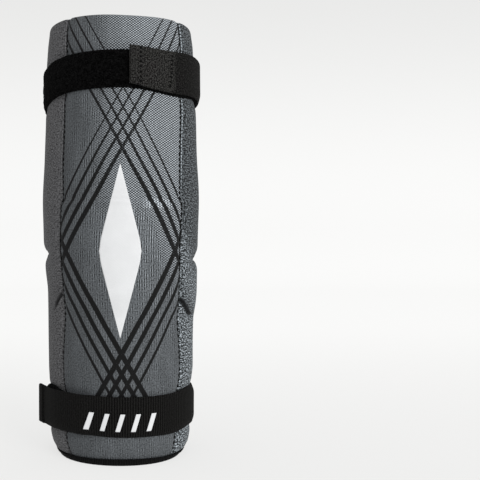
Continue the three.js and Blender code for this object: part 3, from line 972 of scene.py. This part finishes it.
class Shader:
    """A short way to write a node material."""

    def __init__(self, name, roughness, specular, sheen=0.0):
        self.material = bpy.data.materials.new(name)
        self.material.use_nodes = True
        self.tree = self.material.node_tree
        self.surface = self.tree.nodes["Principled BSDF"].inputs
        self.surface["Roughness"].default_value = roughness
        self.surface["Specular IOR Level"].default_value = specular
        self.surface["Sheen Weight"].default_value = sheen
        self.u, self.v, self.edge = self.split(self.attribute("cloth").outputs["Vector"])
        self.cloth = self.node("CombineXYZ", X=self.u, Y=self.v).outputs[0]

    def node(self, kind, **values):
        """A new node, with values or links in its sockets."""
        node = self.tree.nodes.new("ShaderNode" + kind)
        for socket, value in values.items():
            self.put(value, node.inputs[socket.replace("_", " ")])
        return node

    def split(self, vector):
        return self.node("SeparateXYZ", Vector=vector).outputs

    def attribute(self, name):
        node = self.node("Attribute")
        node.attribute_name = name
        return node

    def link(self, source, target):
        self.tree.links.new(source, target)

    def put(self, value, target):
        if isinstance(value, (int, float, list)):
            target.default_value = value
        elif isinstance(value, tuple):
            target.default_value = (*value, 1)
        else:
            self.link(value, target)

    def math(self, operation, a, b=0.0, clamp=False):
        node = self.node("Math")
        node.operation = operation
        node.use_clamp = clamp
        self.put(a, node.inputs[0])
        self.put(b, node.inputs[1])
        return node.outputs[0]

    def add(self, a, b):
        return self.math("ADD", a, b)

    def times(self, a, b):
        return self.math("MULTIPLY", a, b)

    def rest(self, value):
        """What the value leaves of 1."""
        return self.math("SUBTRACT", 1, value)

    def wave(self, value, period, phase=0.0):
        return self.math("COSINE", self.add(self.times(value, 2 * math.pi / period), phase))

    def ramp(self, value, low, high):
        """0 below low and 1 above high, smoothly."""
        node = self.node("MapRange", Value=value, From_Min=low, From_Max=high)
        node.interpolation_type = "SMOOTHSTEP"
        return node.outputs["Result"]

    def noise(self, size, detail=2.0, roughness=0.5, stretch=(1, 1, 1), position=None):
        scale = self.node("Mapping", Vector=position or self.cloth, Scale=[s / size for s in stretch])
        node = self.node("TexNoise", Vector=scale.outputs[0], Scale=1, Detail=detail, Roughness=roughness)
        return node.outputs["Fac"]

    def uneven(self, *size, **stretch):
        """Noise that is as often below 0 as above it."""
        return self.add(self.noise(*size, **stretch), -0.5)

    def mix(self, share, a, b, kind="RGBA", first=6, result=2):
        node = self.node("Mix")
        node.data_type = kind
        for value, socket in ((share, 0), (a, first), (b, first + 1)):
            self.put(value, node.inputs[socket])
        return node.outputs[result]

    def blend(self, share, a, b):
        return self.mix(share, a, b, "FLOAT", 2, 0)

    def inside(self, value, low, high, soft):
        """1 between low and high, with soft ends."""
        rising = self.ramp(value, low - soft, low + soft)
        return self.math("SUBTRACT", rising, self.ramp(value, high - soft, high + soft))

    def scaled(self, value, low, high):
        """Takes 0 to 1 to low to high."""
        return self.add(self.times(value, high - low), low)

    def colour(self, share, low, high):
        """The base colour, by a share from low to high."""
        self.put(self.mix(share, low, high), self.surface["Base Color"])

    def shade(self, level, tint):
        """The base colour from a level of reflected light, and a tint."""
        self.colour(level, (0, 0, 0), tint)

    def bump(self, height, distance, strength=1.0):
        node = self.node("Bump", Strength=strength, Distance=distance, Height=height)
        self.link(node.outputs["Normal"], self.surface["Normal"])


def grey(level, warm=0.0):
    """A colour from its sRGB level in 0 to 255, a little warm or cool."""
    return tuple(((level + shift) / 255) ** 2.2 for shift in (warm, 0, -warm))


# How far apart the yarns of the cloths are
KNIT_STRETCH = 52 * MM  # the knit is stretched sideways towards the seams, as along a circle this large
DOT_WIDTH = 2.1 * MM
DOT_HEIGHT = 1.6 * MM
RIB_PITCH = 1.6 * MM
DASH_PITCH = 3.04 * MM
LEDGE_RIB_PITCH = 2 * MM
ELASTIC_RIB_PITCH = 1.7 * MM
TAPE_RIB_PITCH = 1.5 * MM
LINING_RIB_PITCH = 1.4 * MM
WARP_PITCH = 1.3 * MM
RIDGE_STITCH_PITCH = 2.3 * MM

# Where the front knit changes, from one place to another: U is the arc from its middle, V the height
# Painted light and sheen, with the knit's own lighter yarn, grow towards the upper right
LIT_AND_STRONG_U = (-40 * MM, 10 * MM)
LIT_AND_STRONG_V = (50 * MM, 195 * MM)
CRISP_V = (95 * MM, 150 * MM)
REGULAR_U = (-24 * MM, -8 * MM)
SEAMWARD_U = (16 * MM, 34 * MM)
SEAMWARD_LIFT = 42 * MM
RAISED_V = (150 * MM, 176 * MM)
LEDGE_U = (15 * MM, 34 * MM)
LEDGE_V = (165.5 * MM, 171.5 * MM)
THIN_STRIPES_V = (150 * MM, 235 * MM)
SHEER_STRIPES_V = (175 * MM, 205 * MM)
KNIT_EDGE = (0.1 * MM, 0.7 * MM)

# Where the cloth of the sides changes: U is the arc from the middle of the back
# The left and right differ partly by painted light from the right
LEFT_U = (-30 * MM, 30 * MM)
FINE_V = (136 * MM, 172 * MM)
FINE_TILT = 1.8
FINE_TILT_REACH = 16 * MM
RIDGE_HIGHLIGHT_EDGE = (0.5 * MM, 1.1 * MM)
RIDGE_HIGHLIGHT_V = (160 * MM, 200 * MM)
MESH_EDGE = (0.1 * MM, 0.5 * MM)
LOOP_STRETCH = (0.65, 1, 1)


def pinstripes(s, width_share):
    """1 on the crossing stripes and 0 off them."""
    height = s.add(s.v, -PATTERN_HEIGHT)
    ink = None
    for slope in (-STRIPE_SLOPE, STRIPE_SLOPE):
        reach = s.math("ABSOLUTE", s.add(height, s.times(s.u, slope)))
        for stripe in STRIPES:
            off = s.math("ABSOLUTE", s.add(reach, -stripe["middle"] * MM))
            off = s.times(off, 1 / math.hypot(1, STRIPE_SLOPE))
            half = s.times(width_share, stripe["width"] * MM / 2)
            part = s.ramp(s.math("SUBTRACT", half, off), -0.2 * MM, 0.2 * MM)
            ink = s.math("MAXIMUM", ink, part) if ink else part
    return s.times(ink, s.ramp(s.v, STRIPE_END, STRIPE_END + MM))


def front_knit():
    """Ribbed knit with a staggered pattern of light yarn, strongest at the upper right.
    Part of that is painted light and sheen from the right.
    """
    s = Shader("front_knit", roughness=0.8, specular=0.2, sheen=0.02)
    stretched = s.times(s.math("SINE", s.times(s.u, 1 / KNIT_STRETCH)), KNIT_STRETCH)
    dots = s.times(s.wave(stretched, DOT_WIDTH), s.wave(s.v, DOT_HEIGHT))
    patchy = s.ramp(s.noise(6 * MM, roughness=0.6), 0.35, 0.7)
    dashes = s.times(s.scaled(s.wave(s.v, DASH_PITCH, 1.3), 0.65, 0.35), patchy)
    ribs = s.times(s.wave(s.u, RIB_PITCH), dashes)
    grain = s.uneven(0.95 * MM, roughness=0.6)
    slub = s.uneven(7 * MM, stretch=(1, 0.3, 1))
    # Painted light and sheen, with the knit's own lighter yarn: lighter and more patterned towards the upper
    # right
    lit_and_strong = s.times(s.ramp(s.u, *LIT_AND_STRONG_U), s.scaled(s.ramp(s.v, *LIT_AND_STRONG_V), 0.26, 1))
    low = s.rest(s.ramp(s.v, *CRISP_V))
    raised = s.ramp(s.add(s.v, s.times(s.ramp(s.u, *SEAMWARD_U), SEAMWARD_LIFT)), *RAISED_V)
    pattern = s.blend(s.times(s.ramp(s.u, *REGULAR_U), raised), ribs, dots)

    contrast = s.times(s.scaled(lit_and_strong, 0.6, 3.8), s.scaled(low, 1, 0.6))
    varied = s.add(s.times(pattern, contrast), 1)
    varied = s.add(varied, s.times(grain, s.scaled(lit_and_strong, 2.8, 4.3)))
    varied = s.add(varied, s.times(slub, 0.7))
    # The ledge of the elbow cap, where the ribs catch the light
    lit = s.times(s.inside(s.v, *LEDGE_V, MM), s.inside(s.u, *LEDGE_U, 4 * MM))
    varied = s.add(varied, s.times(lit, s.scaled(s.wave(s.u, LEDGE_RIB_PITCH), 1.1, 2.6)))

    level = s.times(s.scaled(lit_and_strong, 0.0585, 0.116), s.math("MAXIMUM", varied, 0.1))
    through = s.ramp(s.add(s.times(dots, 0.5), s.times(grain, 1.6)), 0.3, 0.8)
    through = s.times(through, s.scaled(s.ramp(s.v, *SHEER_STRIPES_V), 0.12, 0.5))
    ink = s.times(pinstripes(s, s.scaled(s.ramp(s.v, *THIN_STRIPES_V), 1, 0.5)), s.rest(through))
    level = s.times(level, s.rest(s.times(ink, 0.995)))
    level = s.times(level, s.scaled(s.ramp(s.edge, *KNIT_EDGE), 0.65, 1))
    s.shade(level, (0.92, 1, 1.07))
    s.bump(s.add(s.times(pattern, 0.5), s.times(grain, 0.8)), 0.22 * MM, 0.8)
    return s.material


def side_mesh():
    """Stretch cloth of mixed light and dark loops: smooth at the left, coarse low at the right.
    Part of the split between left and right is painted light from the right.
    """
    s = Shader("side_mesh", roughness=0.88, specular=0.15, sheen=0.02)
    loops = s.uneven(0.94 * MM, 0, stretch=LOOP_STRETCH)
    fine = s.uneven(0.66 * MM, 0, stretch=LOOP_STRETCH)
    left = s.ramp(s.u, *LEFT_U)
    inland = s.math("MINIMUM", s.edge, FINE_TILT_REACH)
    low = s.rest(s.ramp(s.add(s.v, s.times(inland, FINE_TILT)), *FINE_V))
    # Painted shade in and above the folds, from the crease attribute, darkens the cloth and flattens its
    # loops
    unshaded = s.rest(s.attribute("crease").outputs["Fac"])
    # Painted light and shade: the loops stand out more at the right, under the key light, than at the left
    contrast = s.times(s.blend(left, s.scaled(low, 8.4, 11.2), 2.2), unshaded)
    varied = s.add(1, s.times(s.add(loops, s.times(fine, 0.6)), contrast))
    varied = s.add(varied, s.times(s.uneven(9 * MM), 0.35))
    average = s.blend(left, s.scaled(low, 0.0455, 0.087), 0.068)
    level = s.times(average, s.math("MAXIMUM", varied, 0.15))
    level = s.times(level, s.scaled(s.ramp(s.edge, *MESH_EDGE), 0.4, 1))
    # Painted highlight: a thin light line beside the seam in the upper part, brighter at the right, broken
    # at each stitch
    ridge = s.times(s.inside(s.edge, *RIDGE_HIGHLIGHT_EDGE, 0.15 * MM), s.ramp(s.v, *RIDGE_HIGHLIGHT_V))
    ridge = s.times(ridge, s.ramp(s.wave(s.v, RIDGE_STITCH_PITCH), -0.9, 0.3))
    level = s.add(level, s.times(ridge, s.blend(left, 0.36, 0.04)))
    s.shade(s.times(level, unshaded), s.mix(left, (0.9, 1, 1.07), (1, 1, 1.04)))
    s.bump(s.add(loops, s.times(fine, 0.5)), 0.35 * MM, 0.8)
    return s.material


def lining():
    s = Shader("lining", roughness=0.9, specular=0.1, sheen=0.05)
    ribs = s.wave(s.u, LINING_RIB_PITCH)
    grain = s.noise(0.8 * MM, roughness=0.6)
    s.colour(s.math("ADD", s.times(ribs, 0.2), grain, clamp=True), grey(26), grey(52))
    s.bump(s.add(s.times(ribs, 0.4), grain), 0.2 * MM, 0.7)
    return s.material


def loop_pile():
    s = Shader("loop_pile", roughness=1.0, specular=0.02, sheen=0.01)
    fuzz = s.noise(0.9 * MM, 3, 0.65)
    tufts = s.noise(2.6 * MM)
    level = s.ramp(s.add(s.times(fuzz, 0.7), s.times(tufts, 0.3)), 0.42, 0.66)
    s.colour(level, grey(2), grey(25))
    s.bump(level, 0.6 * MM)
    return s.material


def elastic(name, light, mottle, ribbed_from, dark_from=1.0):
    """Woven webbing, as light as the sRGB level light: ribbed and darker from so far along it."""
    s = Shader(name, roughness=0.9, specular=0.04, sheen=0.01)
    weave = s.times(s.wave(s.u, ELASTIC_RIB_PITCH), s.scaled(s.wave(s.v, WARP_PITCH), 0.7, 1))
    grain = s.uneven(0.85 * MM, roughness=0.6)
    ribbed = s.ramp(s.u, ribbed_from, ribbed_from + 20 * MM)
    varied = s.add(s.add(1, s.times(weave, s.scaled(ribbed, 0.3, 1.1))), s.times(grain, mottle))
    beyond = s.scaled(s.ramp(s.u, dark_from, dark_from + 3 * MM), 1, 0.4)
    level = s.times(s.times(s.math("MAXIMUM", varied, 0.1), beyond), grey(light)[1])
    s.shade(level, (1.02, 1, 0.95))
    s.bump(s.add(s.times(weave, 0.6), grain), 0.25 * MM, 0.8)
    return s.material


def binding_tape():
    s = Shader("binding_tape", roughness=0.8, specular=0.08, sheen=0.01)
    ribs = s.times(s.wave(s.u, TAPE_RIB_PITCH), 0.5)
    grain = s.noise(1.6 * MM, roughness=0.6)
    s.colour(s.math("ADD", ribs, grain, clamp=True), grey(0), grey(21))
    s.bump(s.add(ribs, s.times(grain, 0.5)), 0.2 * MM, 0.8)
    return s.material


def black_thread():
    s = Shader("black_thread", roughness=0.7, specular=0.1)
    strand = s.noise(0.35 * MM, 1, position=s.node("TexCoord").outputs["Object"])
    s.colour(strand, grey(1), grey(8))
    s.bump(strand, 0.1 * MM, 0.6)
    return s.material


def white_print():
    s = Shader("white_print", roughness=0.6, specular=0.2)
    knit = s.times(s.wave(s.u, DOT_WIDTH), s.wave(s.v, DOT_HEIGHT))
    s.colour(s.noise(12 * MM), grey(196, -1), grey(208, -1))
    s.bump(s.add(s.times(knit, 0.5), s.noise(MM)), 0.04 * MM, 0.6)
    return s.material


def print_edge():
    s = Shader("print_edge", roughness=0.8, specular=0.05)
    s.colour(s.noise(0.8 * MM), grey(1), grey(6))
    return s.material


def sweep_paper():
    s = Shader("sweep_paper", roughness=1.0, specular=0.0)
    _, back, up = s.split(s.node("TexCoord").outputs["Object"])
    # Painted light and shade: lighter far back, darker at the bend and high on the wall
    far, bend, high = s.ramp(back, *FAR_Y), s.ramp(up, *BEND_Z), s.ramp(up, *HIGH_Z)
    level = s.add(s.scaled(far, PAPER_NEAR, PAPER_FAR), s.times(bend, -BEND_SHADE))
    s.shade(s.add(level, s.times(high, -HIGH_SHADE)), PAPER_TINT)
    # An even painted glow, though the paper is no lamp, thins the pad's shadow on it
    s.put(PAPER_TINT, s.surface["Emission Color"])
    s.surface["Emission Strength"].default_value = PAPER_GLOW
    return s.material


# Studio


def make_stage():
    """A pale seamless sweep of paper with painted light and shade graded over it: floor, curve and wall."""
    profile = [(SWEEP_FRONT, 0.0), (SWEEP_BACK, 0.0)]
    for i in range(1, SWEEP_STEPS + 1):
        turn = math.pi / 2 * i / SWEEP_STEPS
        profile.append((SWEEP_BACK + SWEEP_CURVE * math.sin(turn), SWEEP_CURVE * (1 - math.cos(turn))))
    profile.append((SWEEP_BACK + SWEEP_CURVE, SWEEP_TOP))
    points = [(x, y, z) for y, z in profile for x in (-SWEEP_HALF_WIDTH, SWEEP_HALF_WIDTH)]
    faces = [(2 * i, 2 * i + 1, 2 * i + 3, 2 * i + 2) for i in range(len(profile) - 1)]
    mesh = mesh_of("sweep", np.array(points), faces)
    mesh.shade_smooth()
    mesh.materials.append(sweep_paper())
    sweep = linked("sweep", mesh)


def make_studio():
    world = bpy.data.worlds.new("studio")
    world.use_nodes = True
    background = world.node_tree.nodes["Background"].inputs
    background["Color"].default_value = (1, 1, 1, 1)
    background["Strength"].default_value = WORLD_LIGHT
    bpy.context.scene.world = world
    bpy.context.scene.view_settings.view_transform = "Standard"
    light = bpy.data.lights.new("key", "AREA")
    light.size = KEY_SIZE
    light.energy = KEY_WATTS
    lamp = linked("key", light)
    lamp.location = KEY_AT
    lamp.rotation_euler = (Vector(KEY_TARGET) - Vector(KEY_AT)).to_track_quat("-Z", "Y").to_euler()


def make_camera():
    data = bpy.data.cameras.new("camera")
    data.sensor_width = SENSOR_MM
    data.lens = FOCAL_PIXELS / PICTURE_PIXELS * SENSOR_MM
    data.shift_x = (PICTURE_PIXELS / 2 - PAD_PIXEL_X) / PICTURE_PIXELS
    camera = linked("camera", data)
    camera.location = (AXIS_X, AXIS_Y - CAMERA_DISTANCE, CAMERA_HEIGHT)
    camera.rotation_euler = (math.pi / 2, 0, 0)
    bpy.context.scene.camera = camera


make_camera()
make_studio()
make_stage()
inside, thread, white = lining(), black_thread(), white_print()
make_front_panel(front_knit(), inside)
make_side_and_back_panel(side_mesh(), inside)
make_binding(binding_tape())
upper_webbing = elastic("upper_elastic", 39, mottle=11, ribbed_from=1.0, dark_from=32 * MM)
lower_webbing = elastic("lower_elastic", 24, mottle=4, ribbed_from=50 * MM)
make_straps(loop_pile(), upper_webbing, lower_webbing)
make_seam_stitches(thread)
make_strap_stitches(thread)
make_binding_stitches(thread)
make_lozenge(white)
make_strap_bars(white, print_edge())
